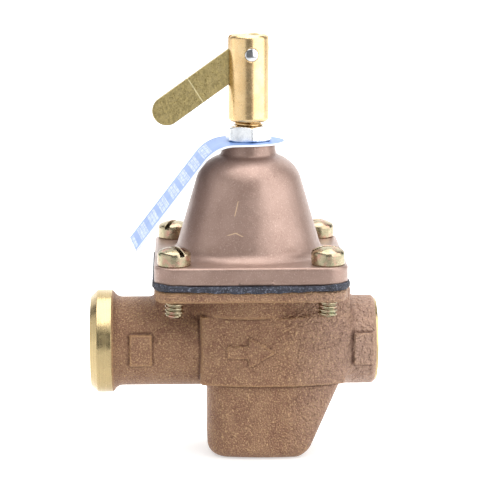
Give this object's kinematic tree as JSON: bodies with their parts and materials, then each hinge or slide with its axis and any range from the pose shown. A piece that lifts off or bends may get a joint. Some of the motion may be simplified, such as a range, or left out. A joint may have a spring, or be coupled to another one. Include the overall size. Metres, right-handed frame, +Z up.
{
  "type": "pressure reducing valve",
  "caption": "Cast bronze water pressure reducing valve with a bell-shaped spring bonnet, square bolted flange, strainer bowl, adjusting screw and fast-fill lever.",
  "frame": {"origin": "on the bonnet axis, at the flat underside of the strainer bowl", "axes": "+Z up along the bonnet and adjusting screw, +X the flow direction from inlet to outlet, -Y the front"},
  "size_m": [0.0962, 0.0644, 0.1411],
  "materials": {
    "sand_cast_bronze": "rough sand-cast bronze, bright on machined faces",
    "smooth_bronze": "smooth satin brown bronze",
    "fabric_rubber": "fabric-reinforced rubber sheet",
    "yellow_zinc": "yellow zinc-plated steel",
    "blue_plastic": "printed plastic strip",
    "machined_brass": "turned brass",
    "black_rubber": "moulded rubber",
    "stainless_steel": "stainless steel",
    "spring_steel": "oiled spring steel",
    "white_zinc": "bright white zinc plate",
    "polished_brass": "polished brass",
    "polished_steel": "polished steel",
    "tumbled_brass": "tumbled, slightly dull brass"
  },
  "bodies": {
    "valve_body": {"body_casting": "sand_cast_bronze", "bonnet": "smooth_bronze", "diaphragm": "fabric_rubber", "bonnet_screws": "yellow_zinc", "instruction_tag": "blue_plastic", "seat_ring": "machined_brass", "seat_gasket": "black_rubber", "valve_cage": "machined_brass", "strainer_screen": "stainless_steel", "check_seat": "machined_brass", "check_cage": "machined_brass", "range_spring": "spring_steel", "closing_spring": "stainless_steel", "check_spring": "stainless_steel"},
    "locknut": {"locknut": "white_zinc"},
    "valve_stem": {"stem": "machined_brass", "disc_holder": "machined_brass", "seat_disc": "black_rubber", "disc_nut": "machined_brass", "diaphragm_washer": "machined_brass", "pressure_plate": "white_zinc", "stem_nut": "machined_brass"},
    "spring_button": {"spring_button": "white_zinc"},
    "adjusting_screw": {"adjusting_screw": "polished_brass", "lever_pin": "polished_steel"},
    "fast_fill_lever": {"fast_fill_lever": "tumbled_brass"},
    "fast_fill_plunger": {"fast_fill_plunger": "machined_brass", "plunger_seal": "black_rubber"},
    "check_poppet": {"check_poppet": "machined_brass", "check_poppet_seal": "black_rubber"}
  },
  "joints": [
    {"name": "adjusting_screw_lift", "type": "slide", "parent": "valve_body", "child": "spring_button", "axis": [0, 0, 1], "range_m": [-0.00079, 0.00476], "deforming": ["range_spring"]},
    {"name": "adjusting_screw_turn", "type": "hinge", "parent": "spring_button", "child": "adjusting_screw", "pos_m": [0, 0, 0.0908], "axis": [0, 0, 1], "range_deg": [-180, 1080]},
    {"name": "lever_lift", "type": "hinge", "parent": "adjusting_screw", "child": "fast_fill_lever", "pos_m": [0, 0, 0.1344], "axis": [-0.1323, 0.9912, 0], "range_deg": [0, 124.7]},
    {"name": "plunger_push", "type": "slide", "parent": "adjusting_screw", "child": "fast_fill_plunger", "axis": [0, 0, -1], "range_m": [0, 0.00146]},
    {"name": "stem_travel", "type": "slide", "parent": "valve_body", "child": "valve_stem", "axis": [0, 0, -1], "range_m": [0, 0.00146], "deforming": ["closing_spring", "diaphragm"]},
    {"name": "locknut_turn", "type": "hinge", "parent": "valve_body", "child": "locknut", "pos_m": [0, 0, 0.1081], "axis": [0, 0, 1], "range_deg": [0, 90]},
    {"name": "check_lift", "type": "slide", "parent": "valve_body", "child": "check_poppet", "axis": [1, 0, 0], "range_m": [0, 0.0025], "stiffness_N_per_m": 60, "springref_m": -0.004, "deforming": ["check_spring"]}
  ],
  "couplings": [
    {"joint": "adjusting_screw_turn", "follows": "adjusting_screw_lift", "rad_per_m": 3957.9},
    {"joint": "lever_lift", "follows": "stem_travel", "rad_per_m": 1490.6},
    {"joint": "plunger_push", "follows": "stem_travel", "ratio": 1}
  ]
}
